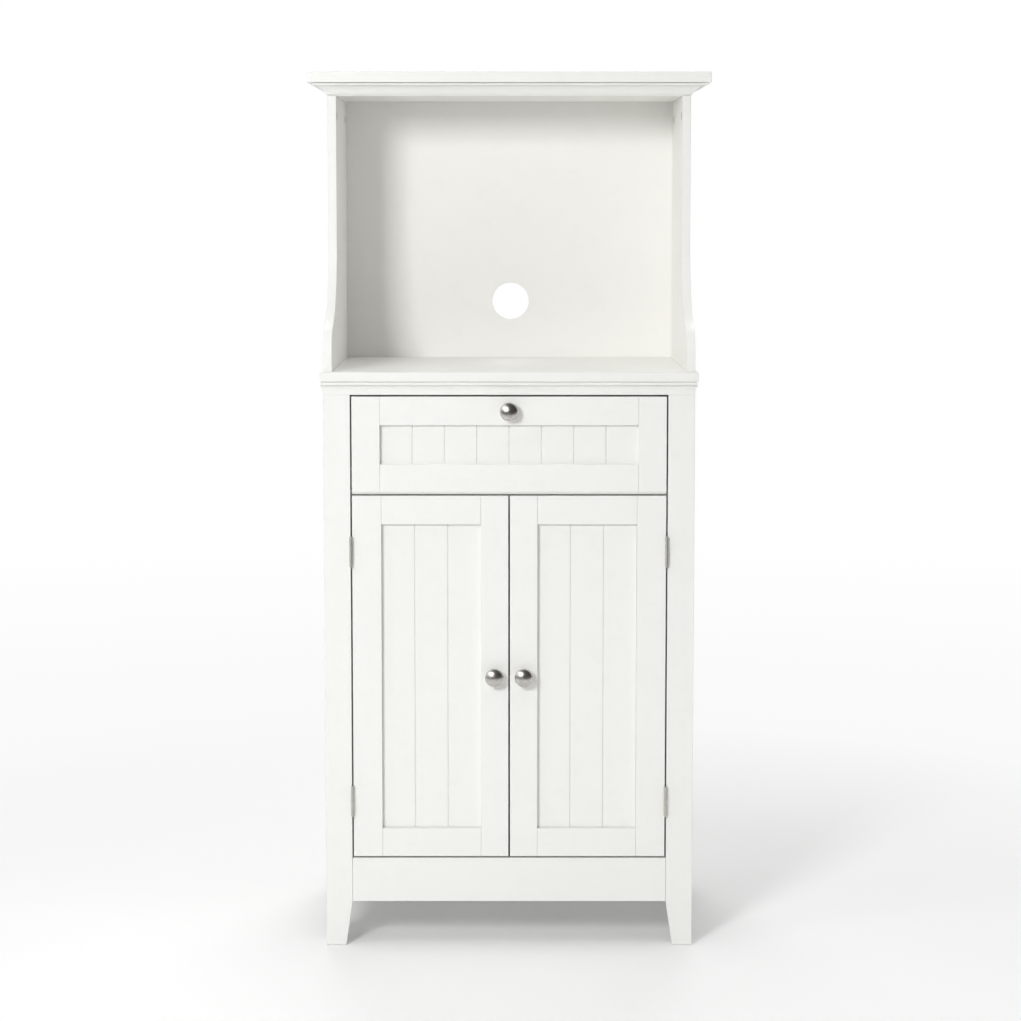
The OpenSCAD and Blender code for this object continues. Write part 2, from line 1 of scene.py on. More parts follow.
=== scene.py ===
import math
import bpy
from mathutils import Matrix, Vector


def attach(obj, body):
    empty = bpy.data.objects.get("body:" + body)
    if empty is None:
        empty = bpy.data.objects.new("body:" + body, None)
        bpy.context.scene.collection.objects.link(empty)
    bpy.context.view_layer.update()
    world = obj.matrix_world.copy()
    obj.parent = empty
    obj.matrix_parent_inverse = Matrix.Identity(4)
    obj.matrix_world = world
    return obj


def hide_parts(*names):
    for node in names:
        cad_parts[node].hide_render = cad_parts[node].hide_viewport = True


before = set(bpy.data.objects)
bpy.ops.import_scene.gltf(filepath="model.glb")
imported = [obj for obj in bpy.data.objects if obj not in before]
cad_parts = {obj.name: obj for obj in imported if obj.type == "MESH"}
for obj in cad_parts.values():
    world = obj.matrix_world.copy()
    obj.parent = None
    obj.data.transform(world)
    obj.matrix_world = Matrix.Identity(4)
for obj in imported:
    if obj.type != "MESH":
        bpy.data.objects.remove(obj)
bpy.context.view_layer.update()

# ---------------------------------------------------------------- sizes
# millimetres from the middle of the width, the post faces and the floor,
# as the part's own source has them
MIDDLE = 199.0        # the frame's origin lies this far behind the post faces
BOARD = 15.0          # thickness of the case and bay boards
FACE = 18.0           # thickness of the posts, the lower rail and all fronts
HALF = 317.5          # case, half width
INNER = 302.5         # inside of the case sides
POST = 271.9          # inner edge of the front posts
DEEP = 420.0          # case, front to back
REAR = 424.0          # outer face of the back panels
BACK_HALF = 316.5     # back panels, half width
CASE_BACK, BAY_BACK = (98.5, 991.2), (992.3, 1490.0)    # foot and head of each back panel

GLIDE = 0.7           # the feet stand on thin glides
GLIDE_SPOTS = ((-303, 9), (-310, 31), (-310, 409))
FOOT_UP = 78.5        # height of the feet
FOOT_TIP = 283.4      # a front foot tapers to here
ARCH = (40.2, 52.0, 386.0, 397.8)         # opening between the feet of a side, front to back
RAIL_TOP = 155.0
DIVIDER = 781.2       # underside of the board over the doors
STRIP = 961.0         # foot of the worktop moulding
TOP_UNDER, TOP = 983.5, 1000.0            # worktop
LIP = 5.0             # the worktop's overhang
SETBACK = 150.0       # the bay's head stands this far behind the post faces
BAY_TOP = 1473.0
CROWN_STRIP = 1474.5  # foot of the crown moulding
CROWN, CROWN_TOP = 1495.0, 1513.5         # top board
CROWN_LIP = 33.3      # the top board's overhang
CORD_HOLE = (2, 1105, 34)                 # its middle and radius
CAM_ROWS, CAM_Z = (172, 386), 1439        # fasteners in the bay sides
SHELF = 452.0         # underside of the shelf
PIN_ROWS, PIN_Z, PIN_PITCH = (70, 350), 449.5, 32       # shelf pins and their holes

FRONT_X = 269.3       # outer edge of the drawer front and the doors
DOORS_MEET = 1.3      # a door stops this far from the middle
DRAWER_FOOT, DRAWER_TOP = 789.9, 957.9
DOOR_FOOT, DOOR_TOP = 158.1, 787.5
STILE, HINGE_STILE, KNOB_STILE = 48.0, 50.0, 47.3       # the drawer's, and a door's two
RAIL, DRAWER_LOW_RAIL = 49.0, 52.0
PANEL_FRONT, PANEL_BACK = 10.2, 15.5
GROOVE, TONGUE = 8.0, 7.5                 # a frame's groove, and as much of the panel in it
HAIRLINE = 0.12       # paint cracks open this far where a rail meets a stile
SEAM, FOOT_SEAM = 0.35, 0.4               # fine dark lines along a panel and the lower rail
KNOB_X, KNOB_Z, DRAWER_KNOB_Z = 25.3, 475.0, 933.4

AXIS_X, AXIS_Y = 270.6, -3.4              # hinge pins
HINGES = (229.1, 664.5)                   # feet of the hinges
HINGE_H, KNUCKLES, LEAF = 52.0, 5, 1.1    # height, knuckles, thickness of a leaf
CATCH_X, CATCH_Z = 12.0, 773.7            # middles of the magnets and the strike plates

BOX_X = 259.2         # drawer box, half width
BOX_WALL = 12.0
BOX_FOOT, BOX_TOP = 800.2, 916.2
BOX_END = 358.0       # back of the drawer box
BOX_GROOVE = 5.0      # its floor sits this deep in its walls
FLOOR_UNDER, FLOOR_TOP = 808.2, 812.2     # drawer floor

ACROSS, UP = (1, 0, 0), (0, 0, 1)
INWARD, OUTWARD = (0, 1, 0), (0, -1, 0)   # into the cabinet and towards the user


def at(x, y, z):
    """a point given in the sizes above, in the frame's metres"""
    return Vector((x, y - MIDDLE, z)) / 1000


def step(x, y, z):
    """a move in millimetres"""
    return Vector((x, y, z)) / 1000


# ---------------------------------------------------------------- at the bench

def put_down():
    if bpy.context.mode != "OBJECT":
        bpy.ops.object.mode_set(mode="OBJECT")
    bpy.ops.object.select_all(action="DESELECT")


def take(*pieces):
    put_down()
    for piece in pieces:
        piece.select_set(True)
    bpy.context.view_layer.objects.active = pieces[0]


def open_up(piece, kind="VERT"):
    """opens the piece for work, with all of it picked"""
    take(piece)
    bpy.ops.object.mode_set(mode="EDIT")
    bpy.ops.mesh.select_mode(type=kind)
    bpy.ops.mesh.select_all(action="SELECT")


def settle(name):
    """names the piece in hand and sets its place, turn and size into its mesh"""
    if bpy.context.mode != "OBJECT":
        bpy.ops.object.mode_set(mode="OBJECT")
    piece = bpy.context.object
    piece.name = piece.data.name = name
    bpy.ops.object.transform_apply(location=True, rotation=True, scale=True)
    return piece


def mark(piece, test):
    """opens the piece with just the faces that pass the test picked

    the test gets the middle of a face in millimetres, and the way the face looks"""
    open_up(piece, "FACE")
    bpy.ops.mesh.select_all(action="DESELECT")
    bpy.ops.object.mode_set(mode="OBJECT")
    for face in piece.data.polygons:
        middle = face.center * 1000 + Vector((0, MIDDLE, 0))
        face.select = bool(test(middle, face.normal))
    bpy.ops.object.mode_set(mode="EDIT")


def pull(move):
    """pulls what is picked out by a move, as new faces"""
    bpy.ops.mesh.extrude_region_move(TRANSFORM_OT_translate={"value": move})


def outside_out():
    bpy.ops.mesh.select_all(action="SELECT")
    bpy.ops.mesh.normals_make_consistent(inside=False)


def sawn(name, low, high):
    """a board sawn square between two corners"""
    put_down()
    low, high = at(*low), at(*high)
    bpy.ops.mesh.primitive_cube_add(size=1, location=(low + high) / 2, scale=high - low)
    return settle(name)


def score(piece, *depths):
    """scores the whole piece in planes at these depths behind the post faces"""
    for depth in depths:
        open_up(piece, "FACE")
        bpy.ops.mesh.bisect(plane_co=at(0, depth, 0), plane_no=INWARD, use_fill=False)
    put_down()


def saw_off(piece, point, looks):
    """saws along a plane and drops the side that it looks to"""
    open_up(piece, "FACE")
    bpy.ops.mesh.bisect(plane_co=point, plane_no=looks, use_fill=True, clear_outer=True)
    put_down()


def traced(name, corners, depth=None):
    """an outline drawn from corner to corner; with a depth it is closed and pulled to a solid"""
    put_down()
    bpy.ops.mesh.primitive_plane_add(size=0.001, location=corners[0])
    bpy.ops.object.mode_set(mode="EDIT")
    bpy.ops.mesh.select_mode(type="VERT")
    bpy.ops.mesh.select_all(action="SELECT")
    bpy.ops.mesh.merge(type="CENTER")
    stops = list(corners) + ([corners[0]] if depth is not None else [])
    for a, b in zip(stops, stops[1:]):
        bpy.ops.mesh.extrude_vertices_move(TRANSFORM_OT_translate={"value": b - a})
    if depth is not None:
        bpy.ops.mesh.select_all(action="SELECT")
        bpy.ops.mesh.remove_doubles(threshold=1e-6)
        bpy.ops.mesh.edge_face_add()
        bpy.ops.mesh.select_all(action="SELECT")
        pull(depth)
        outside_out()
    return settle(name)


def turned(name, centre, profile, along, steps):
    """a piece off the lathe: (radius, height) pairs in mm, the heights along an axis"""
    along = Vector(along).normalized()
    out = along.orthogonal().normalized()
    piece = traced(name, [centre + (out * r + along * h) / 1000 for r, h in profile])
    open_up(piece)
    bpy.ops.mesh.spin(steps=steps, angle=math.tau, center=centre, axis=along)
    bpy.ops.mesh.select_all(action="SELECT")
    bpy.ops.mesh.remove_doubles(threshold=2e-6)
    outside_out()
    put_down()
    return piece


def rod(name, centre, radius, reach, along, steps):
    """a round bar or a drill bit: its middle, its radius and its reach each way"""
    put_down()
    turn = Vector(UP).rotation_difference(Vector(along)).to_euler()
    bpy.ops.mesh.primitive_cylinder_add(vertices=steps, radius=radius / 1000,
                                        depth=reach / 500, location=centre, rotation=turn)
    return settle(name)


def joined(*pieces):
    if len(pieces) > 1:
        take(*pieces)
        bpy.ops.object.join()
    return pieces[0]


def cut_away(piece, *tools):
    """takes the tools' shapes out of the piece"""
    tool = joined(*tools)
    take(piece)
    cut = piece.modifiers.new("cut", "BOOLEAN")
    cut.operation = "DIFFERENCE"
    cut.solver = "EXACT"
    cut.object = tool
    bpy.ops.object.modifier_apply(modifier=cut.name)
    bpy.data.objects.remove(tool)
    return piece


def copied(piece, name, move):
    """a second piece off the same bench, moved in mm"""
    take(piece)
    bpy.ops.object.duplicate(linked=False)
    bpy.ops.transform.translate(value=step(*move))
    return settle(name)


def twin(piece, name):
    """the right-hand twin of a left-hand piece"""
    take(piece)
    bpy.ops.object.duplicate(linked=False)
    bpy.context.object.scale = (-1, 1, 1)
    other = settle(name)
    open_up(other)
    outside_out()
    put_down()
    return other


def eased(piece, round_over, rounds, angle):
    """rounds the sharp edges over, in the last coat, and keeps the broad faces flat"""
    take(piece)
    if round_over:
        edges = piece.modifiers.new("rounded edges", "BEVEL")
        edges.width = round_over / 1000
        edges.segments = rounds
        edges.limit_method = "ANGLE"
        edges.angle_limit = math.radians(angle)
        # on painted pieces the last coat is the darker one: thinner paint on outer edges, painted
        # shade in the inner creases
        edges.material = len(piece.data.materials) - 1
        bpy.ops.object.modifier_apply(modifier=edges.name)
    bpy.ops.object.shade_smooth_by_angle(angle=math.radians(55))
    flats = piece.modifiers.new("flat faces", "WEIGHTED_NORMAL")
    flats.weight = 60
    flats.keep_sharp = True
    bpy.ops.object.modifier_apply(modifier=flats.name)
    put_down()


def coated(piece, coats, test):
    """gives a piece its coats, the second one on the faces that pass the test"""
    for coat in coats:
        piece.data.materials.append(coat)
    mark(piece, test)
    piece.active_material_index = 1
    bpy.ops.object.material_slot_assign()
    put_down()


def finished(piece, coats, body, nodes, round_over, rounds=2, angle=32):
    """coats, eases and hands over a piece, with the CAD nodes that it stands for"""
    if not piece.data.materials:
        for coat in coats:
            piece.data.materials.append(coat)
    eased(piece, round_over, rounds, angle)
    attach(piece, body)
    if nodes:
        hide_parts(*nodes)


# ---------------------------------------------------------------- finishes

class Finish:
    """one material and the short words to wire it with"""

    def __init__(self, name, **shader):
        self.material = bpy.data.materials.new(name)
        self.material.use_nodes = True
        self.tree = self.material.node_tree
        self.tree.nodes.clear()
        self.shader = self.add("BsdfPrincipled")
        self.wire(self.shader.outputs["BSDF"], self.add("OutputMaterial").inputs["Surface"])
        for socket, value in shader.items():
            self.shader.inputs[socket].default_value = value
        self.where = self.add("TexCoord").outputs["Object"]

    def add(self, kind, **settings):
        node = self.tree.nodes.new("ShaderNode" + kind)
        for key, value in settings.items():
            setattr(node, key, value)
        return node

    def wire(self, source, socket):
        self.tree.links.new(source, socket)

    def placed(self, size):
        """the coordinates, stretched by a size along each axis"""
        mapping = self.add("Mapping")
        mapping.inputs["Scale"].default_value = size
        self.wire(self.where, mapping.inputs["Vector"])
        return mapping.outputs["Vector"]

    def cloud(self, scale, detail, rough=0.5, source=None):
        noise = self.add("TexNoise")
        noise.inputs["Scale"].default_value = scale
        noise.inputs["Detail"].default_value = detail
        noise.inputs["Roughness"].default_value = rough
        self.wire(source or self.where, noise.inputs["Vector"])
        return noise.outputs["Fac"]

    def cells(self, scale, output="Distance"):
        cell = self.add("TexVoronoi")
        cell.inputs["Scale"].default_value = scale
        self.wire(self.where, cell.inputs["Vector"])
        return cell.outputs[output]

    def span(self, source, low, high, to_low, to_high):
        ranged = self.add("MapRange")
        for socket, value in (("From Min", low), ("From Max", high),
                              ("To Min", to_low), ("To Max", to_high)):
            ranged.inputs[socket].default_value = value
        self.wire(source, ranged.inputs["Value"])
        return ranged.outputs["Result"]

    def blend(self, share, first, second):
        """a colour between two, each a colour or a socket"""
        mix = self.add("Mix", data_type="RGBA")
        self.wire(share, mix.inputs["Factor"])
        for socket, value in ((mix.inputs[6], first), (mix.inputs[7], second)):
            if isinstance(value, tuple):
                socket.default_value = (*value, 1)
            else:
                self.wire(value, socket)
        return mix.outputs[2]

    def sum(self, first, second, share):
        """the first value and a share of the second"""
        scaled = self.add("Math", operation="MULTIPLY_ADD")
        scaled.inputs[1].default_value = share
        self.wire(second, scaled.inputs[0])
        self.wire(first, scaled.inputs[2])
        return scaled.outputs["Value"]

    def paint(self, colour, roughness):
        self.wire(colour, self.shader.inputs["Base Color"])
        self.wire(roughness, self.shader.inputs["Roughness"])

    def relief(self, height, depth):
        """fine relief of a depth in mm"""
        bump = self.add("Bump")
        bump.inputs["Distance"].default_value = depth / 1000
        self.wire(height, bump.inputs["Height"])
        self.wire(bump.outputs["Normal"], self.shader.inputs["Normal"])


def sprayed_paint(name, thick, thin, sheen, peel=0.05):
    """satin paint sprayed on fibreboard: drifting tone, orange peel and a few dust nibs"""
    coat = Finish(name, IOR=1.46)
    drift = coat.span(coat.cloud(3.2, 4), 0.3, 0.7, 0, 1)
    flow = coat.span(coat.cloud(38, 4, 0.6), 0.35, 0.65, 0, 1)
    tone = coat.blend(drift, thick, thin)
    dulled = tuple(c * 0.985 for c in thin)
    coat.paint(coat.blend(coat.span(flow, 0.55, 1, 0, 0.5), tone, dulled),
               coat.span(flow, 0, 1, sheen - 0.035, sheen + 0.035))
    nibs = coat.span(coat.cells(95), 0.0, 0.035, 1, 0)
    skin = coat.sum(coat.cloud(820, 2, 0.45), nibs, 0.35)
    skin = coat.sum(skin, coat.cloud(120, 2), 0.5)
    coat.relief(skin, peel)
    return coat.material


def faced_board(name, bright, dull, sheen, grain):
    """thin printed foil on a board, with a faint drawn-out grain"""
    foil = Finish(name, IOR=1.45)
    streaks = foil.span(foil.cloud(9, 5, 0.6, foil.placed(grain)), 0.3, 0.7, 0, 1)
    foil.paint(foil.blend(streaks, bright, dull),
               foil.span(streaks, 0, 1, sheen - 0.03, sheen + 0.05))
    foil.relief(foil.sum(foil.cloud(600, 2), streaks, 0.6), 0.04)
    return foil.material


def plated(name, colour, shadow, dull, mark_scale, depth):
    """nickel plate: fine polishing marks, a cloudy tarnish and a soft sheen"""
    plate = Finish(name, Metallic=1.0)
    tarnish = plate.span(plate.cloud(160, 4, 0.6), 0.35, 0.75, 0, 1)
    marks = plate.cloud(5, 3, 0.55, plate.placed(mark_scale))
    plate.paint(plate.blend(tarnish, colour, shadow),
                plate.span(plate.sum(tarnish, marks, 0.8), 0.2, 1.5, dull - 0.035, dull + 0.06))
    plate.relief(marks, depth)
    return plate.material


def zinc_plated(name, bright, dark, dull):
    """zinc on pressed steel: a faint spangle, handling marks"""
    steel = Finish(name, Metallic=1.0)
    spangle = steel.span(steel.cells(210, "Color"), 0, 1, 0, 1)
    haze = steel.cloud(45, 5, 0.6)
    steel.paint(steel.blend(steel.span(steel.sum(haze, spangle, 0.35), 0.3, 1.0, 0, 1),
                            bright, dark),
                steel.span(haze, 0.3, 0.7, dull - 0.06, dull + 0.08))
    steel.relief(steel.sum(steel.cloud(900, 2), steel.cloud(60, 3), 0.5), 0.02)
    return steel.material


def moulded(name, colour, shade, dull):
    """moulded plastic: a fine spark-etched skin"""
    plastic = Finish(name, IOR=1.5)
    patch = plastic.span(plastic.cloud(70, 4), 0.3, 0.7, 0, 1)
    plastic.paint(plastic.blend(patch, colour, shade),
                  plastic.span(patch, 0, 1, dull, dull + 0.09))
    plastic.relief(plastic.cloud(1600, 2), 0.02)
    return plastic.material


satin_white = sprayed_paint("satin_white_paint", (0.9, 0.902, 0.872), (0.888, 0.889, 0.86), 0.4)
# darker coat: thinner paint on the rounded edges, and painted shade where it lies in the creases
# of the bevels and in the V grooves and seams of the panels
edge_paint_and_groove_shade = sprayed_paint("edge_paint_and_painted_groove_shade", (0.85, 0.85, 0.83), (0.825, 0.82, 0.79),
                          0.37, 0.03)
# a brighter copy of the white paint for the bay's inner faces and the worktop's top: painted
# light, standing in for the extra light that falls there
bay_painted_light_white = sprayed_paint("bay_inside_painted_light", (0.957, 0.952, 0.924), (0.949, 0.944, 0.916),
                          0.42, 0.035)
# the back panels are a white board of their own, set brighter than the fronts as painted light for
# the back of the bay
back_painted_light_white = sprayed_paint("back_panel_painted_light", (0.957, 0.952, 0.924), (0.949, 0.944, 0.915),
                           0.45, 0.035)
back_edge = sprayed_paint("back_panel_cut_edge", (0.78, 0.76, 0.71), (0.72, 0.69, 0.63),
                          0.6, 0.06)
box_white = faced_board("drawer_board_foil", (0.84, 0.835, 0.81), (0.80, 0.795, 0.765),
                        0.48, (4, 1, 22))
box_edge = faced_board("drawer_board_edge_band", (0.80, 0.79, 0.76), (0.76, 0.75, 0.71),
                       0.5, (2, 2, 8))
box_floor = faced_board("drawer_bottom_foil", (0.83, 0.825, 0.80), (0.79, 0.785, 0.76),
                        0.46, (16, 1.5, 4))
nickel = plated("satin_nickel_knob", (0.62, 0.6, 0.57), (0.5, 0.48, 0.45),
                0.28, (30, 30, 30), 0.004)
hinge_nickel = plated("nickel_hinge", (0.66, 0.65, 0.60), (0.53, 0.52, 0.47),
                      0.42, (8, 60, 4), 0.012)
zinc = zinc_plated("zinc_plated_steel", (0.60, 0.61, 0.62), (0.42, 0.43, 0.45), 0.36)
screw_zinc = zinc_plated("zinc_screw_heads", (0.52, 0.53, 0.55), (0.33, 0.34, 0.36), 0.34)
nylon = moulded("white_nylon", (0.80, 0.80, 0.775), (0.755, 0.755, 0.73), 0.42)
magnet = moulded("dark_ferrite", (0.055, 0.052, 0.05), (0.035, 0.033, 0.032), 0.5)

PAINTED = (satin_white, edge_paint_and_groove_shade)
BAY_PAINTED_LIGHT_COATS = (satin_white, bay_painted_light_white, edge_paint_and_groove_shade)
BACKS = (back_painted_light_white, back_edge)
BOX_COATS = (box_white, box_edge)

# ---------------------------------------------------------------- case

side = traced("left_case_side", [at(-HALF, y, z) for y, z in (
    (FACE, GLIDE), (ARCH[0], GLIDE), (ARCH[1], FOOT_UP), (ARCH[2], FOOT_UP), (ARCH[3], GLIDE),
    (DEEP, GLIDE), (DEEP, STRIP), (FACE, STRIP))], step(BOARD, 0, 0))
bits = [rod("bit", at(-INNER, y, PIN_Z + n * PIN_PITCH), 2.6, 10, ACROSS, 20)
        for y in PIN_ROWS for n in range(-2, 3)]
cut_away(side, *bits)
other = twin(side, "right_case_side")
finished(side, PAINTED, "cabinet", ["side_panel_left"], 0.5)
finished(other, PAINTED, "cabinet", ["side_panel_right"], 0.5)

post = traced("left_front_post", [at(-x, 0, z) for x, z in (
    (HALF, GLIDE), (FOOT_TIP, GLIDE), (POST, FOOT_UP), (POST, STRIP), (HALF, STRIP))],
    step(0, FACE, 0))
other = twin(post, "right_front_post")
finished(post, PAINTED, "cabinet", ["front_post_left"], 0.7, 3)
finished(other, PAINTED, "cabinet", ["front_post_right"], 0.7, 3)

glides = [turned("glide", at(x, y, 0),
                 [(0, 0), (5.4, 0), (5.8, 0.2), (5.8, GLIDE), (0, GLIDE)], UP, 32)
          for x, y in GLIDE_SPOTS]
glides += [twin(glide, "glide_right") for glide in glides]
joined(*glides).name = "foot_glides"
finished(glides[0], (nylon,), "cabinet", (), 0)

BOARDS = [
    # name, low corner, high corner, node, round-over
    ("rail_under_doors", (SEAM - POST, 0, FOOT_UP), (POST - SEAM, FACE, RAIL_TOP),
     "bottom_rail", 0.35),
    ("cupboard_floor", (-INNER, FACE, RAIL_TOP - BOARD), (INNER, DEEP, RAIL_TOP),
     "cabinet_floor", 0.5),
    ("board_over_doors", (-INNER, 18.3, DIVIDER), (INNER, DEEP, DIVIDER + BOARD),
     "divider_board", 0.5),
    ("rear_rail", (-INNER, DEEP - BOARD, 923.5), (INNER, DEEP, TOP_UNDER),
     "rear_stretcher", 0.5),
    ("worktop_board", (-HALF - LIP, -LIP, TOP_UNDER), (HALF + LIP, DEEP, TOP),
     "counter_slab", 1.2),
    ("board_over_bay", (-HALF, SETBACK, BAY_TOP), (HALF, DEEP, CROWN),
     "crown_board", 0.35),
    ("crown_top_board", (-HALF - CROWN_LIP, SETBACK - CROWN_LIP, CROWN),
     (HALF + CROWN_LIP, DEEP, CROWN_TOP), "crown_slab", 0.7),
    ("adjustable_shelf", (-301.5, 38, SHELF), (301.5, 419, SHELF + BOARD),
     "shelf", 0.9),
]
for name, low, high, node, round_over in BOARDS:
    board = sawn(name, low, high)
    if node == "crown_board":
        saw_off(board, at(0, SETBACK, BAY_TOP + 3), (0, -1, -1))
    if node == "counter_slab":
        # the worktop's top face takes the brighter copy of the white: painted light
        coated(board, BAY_PAINTED_LIGHT_COATS, lambda middle, looks: looks.z > 0.9)
    finished(board, PAINTED, "cabinet", [node], round_over, 3)

cleat = sawn("left_slide_cleat", (-INNER, FACE, DIVIDER + BOARD), (-POST, DEEP - BOARD, 838.2))
finished(joined(cleat, twin(cleat, "right_slide_cleat")), PAINTED, "cabinet",
         ["slide_cleats"], 0.5)

panel = sawn("case_back_panel", (-BACK_HALF, DEEP, CASE_BACK[0]), (BACK_HALF, REAR, CASE_BACK[1]))
finished(panel, BACKS, "cabinet", ["lower_back"], 0.4)
panel = sawn("bay_back_panel", (-BACK_HALF, DEEP, BAY_BACK[0]), (BACK_HALF, REAR, BAY_BACK[1]))
x, z, radius = CORD_HOLE
cut_away(panel, rod("hole saw", at(x, (DEEP + REAR) / 2, z), radius, 6, INWARD, 112))
finished(panel, BACKS, "cabinet", ["hutch_back"], 0.4)


# ---------------------------------------------------------------- mouldings

def arc(u, v, r, start, end, steps):
    """points on an arc, in mm"""
    turns = [math.radians(start + (end - start) * n / steps) for n in range(steps + 1)]
    return [(u + r * math.cos(t), v + r * math.sin(t)) for t in turns]


def mitred_strips(name, section, front, foot, node):
    """front and side lengths of one moulding, mitred at both front corners

    the section's points are (out from the front, up from the foot)"""
    spare = 40
    length = traced(name + "_front",
                    [at(-HALF - spare, front - u, foot + v) for u, v in section],
                    step(2 * (HALF + spare), 0, 0))
    saw_off(length, at(-HALF, front, 0), (-1, 1, 0))
    saw_off(length, at(HALF, front, 0), (1, 1, 0))
    left = traced(name + "_left", [at(-HALF - u, front - spare, foot + v) for u, v in section],
                  step(0, DEEP - front + spare, 0))
    saw_off(left, at(-HALF, front, 0), (1, -1, 0))
    for strip in (length, left, twin(left, name + "_right")):
        finished(strip, PAINTED, "cabinet", [node], 0.22, 2, 40)


mitred_strips("worktop_moulding", [
    (-15, 0), (0.3, 0), *arc(10.8, 6.5, 10.5, 180, 127, 12), (4.2, 15.2), (1.2, 15.5),
    *arc(1.5, 18.8, 3, -75, 85, 14), (1.6, 22), (1.6, 22.5), (-15, 22.5),
], 0, STRIP, "counter_moulding")
mitred_strips("crown_moulding_strip", [
    (0, 1.6), (3.2, 1.6), (3.6, 2.6), *arc(36.83, -19.68, 40, 146.16, 118.73, 10), (20.8, 15.6),
    *arc(23.2, 18.1, 2.3, -125, 90, 14), (0, 20.5),
], SETBACK, CROWN_STRIP, "crown_moulding")

# ---------------------------------------------------------------- microwave bay

side = traced("left_bay_side", [at(-HALF, y, z) for y, z in (
    (5, TOP), *arc(50, 1030, 45, 180, 107, 18), *arc(-0.63, 1218.97, 150.63, -75, 0, 34),
    (SETBACK, BAY_TOP), (DEEP, BAY_TOP), (DEEP, TOP))], step(BOARD, 0, 0))
cut_away(side, *[rod("bit", at(-INNER, y, CAM_Z), 7.6, 12, ACROSS, 40) for y in CAM_ROWS])
# the bay sides' inner faces take the brighter copy of the white: painted light
coated(side, BAY_PAINTED_LIGHT_COATS, lambda middle, looks: looks.x > 0.9 and abs(middle.x + INNER) < 0.5)
other = twin(side, "right_bay_side")
finished(side, PAINTED, "cabinet", ["hutch_side_left"], 0.7, 3)
finished(other, PAINTED, "cabinet", ["hutch_side_right"], 0.7, 3)


def cam(name, y):
    """cam fastener: a chamfered disc with a cross slot"""
    disc = turned(name, at(-INNER - 12, y, CAM_Z), [
        (0, 0), (7.2, 0), (7.5, 0.3), (7.5, 11.6), (7.1, 12), (4.9, 12), (4.7, 11.7), (0, 11.7)],
        ACROSS, 48)
    for wide, high in ((4, 0.8), (0.8, 4)):
        cut_away(disc, sawn("blade", (-INNER - 3, y - wide, CAM_Z - high),
                            (-INNER + 1, y + wide, CAM_Z + high)))
    return disc


cams = [cam(name, y) for name, y in zip(("front_cam", "rear_cam"), CAM_ROWS)]
cams += [twin(disc, "cam") for disc in cams]
finished(joined(*cams), (screw_zinc,), "cabinet", ["cam_locks"], 0)

# ---------------------------------------------------------------- framed fronts


def stile(name, x, foot, top, wide=STILE):
    """left-hand stile from its outer edge x, grooved along the panel"""
    edge = x + wide
    return traced(name, [at(u, v, foot) for u, v in (
        (x, 0), (edge, 0), (edge, PANEL_FRONT), (edge - GROOVE, PANEL_FRONT),
        (edge - GROOVE, PANEL_BACK), (edge, PANEL_BACK), (edge, FACE), (x, FACE))],
        step(0, 0, top - foot))


def rail(name, left, right, foot, groove_up, wide=RAIL):
    """rail between two stiles, grooved on one edge, with a stub tenon at each end"""
    lip, base = (foot + wide, foot) if groove_up else (foot, foot + wide)
    deep = lip - GROOVE if groove_up else lip + GROOVE
    left, right = left + HAIRLINE, right - HAIRLINE
    board = traced(name, [at(left, y, z) for y, z in (
        (0, base), (0, lip), (PANEL_FRONT, lip), (PANEL_FRONT, deep),
        (PANEL_BACK, deep), (PANEL_BACK, lip), (FACE, lip), (FACE, base))],
        step(right - left, 0, 0))
    score(board, PANEL_FRONT, PANEL_BACK)
    for end, way in ((left, -1), (right, 1)):
        mark(board, lambda middle, looks: looks.x * way > 0.9
             and PANEL_FRONT < middle.y < PANEL_BACK and abs(middle.x - end) < 0.1)
        pull(step((TONGUE + HAIRLINE) * way, 0, 0))
    return board


def beaded(name, left, right, foot, top, boards, open_foot):
    """panel of boards with a V between each two, its rims eased, its edges in the frame's grooves

    a shoulder leaves a fine dark line along the left stile and the upper rail, and along the lower
    rail where the foot is open; the faces of the V's and of the shoulder take the darker coat, as
    painted shade"""
    wide = (right - left) / boards
    shoulder = PANEL_FRONT + 1.3
    outline = [(left - TONGUE, shoulder), (left + SEAM, shoulder), (left + SEAM, PANEL_FRONT)]
    for n in range(1, boards):
        x = left + n * wide
        outline += [(x + u, PANEL_FRONT + v) for u, v in (
            (-1.15, 0), (-0.85, 0.17), (-0.18, 1.65), (0.18, 1.65), (0.85, 0.17), (1.15, 0))]
    outline += [(right + TONGUE, PANEL_FRONT), (right + TONGUE, PANEL_BACK),
                (left - TONGUE, PANEL_BACK)]
    panel = traced(name, [at(x, y, foot - TONGUE) for x, y in outline],
                   step(0, 0, top - foot + 2 * TONGUE))
    past = 9          # the rebates are cut out past the tongues
    rebates = [(top - SEAM, top + past)]
    if open_foot:
        rebates.append((foot - past, foot + FOOT_SEAM))
    for low, high in rebates:
        cut_away(panel, sawn("rebate", (left - past, PANEL_FRONT - 1, low),
                             (right + past, shoulder, high)))
    # the V's flanks and the shoulders' faces take the darker coat: painted shade deepening the
    # grooves and seams
    coated(panel, PAINTED,
           lambda middle, looks: PANEL_FRONT + 0.01 < middle.y < PANEL_FRONT + 2)
    return panel


def chamfered(piece):
    """planes the long slope on the drawer front's lower edge"""
    saw_off(piece, at(0, 0, DRAWER_FOOT + 5), (0, -5, -2.8))
    return piece


def drilled(piece, x, z):
    """screw hole for a knob"""
    return cut_away(piece, rod("bit", at(x, FACE / 2, z), 2.4, 12, INWARD, 28))


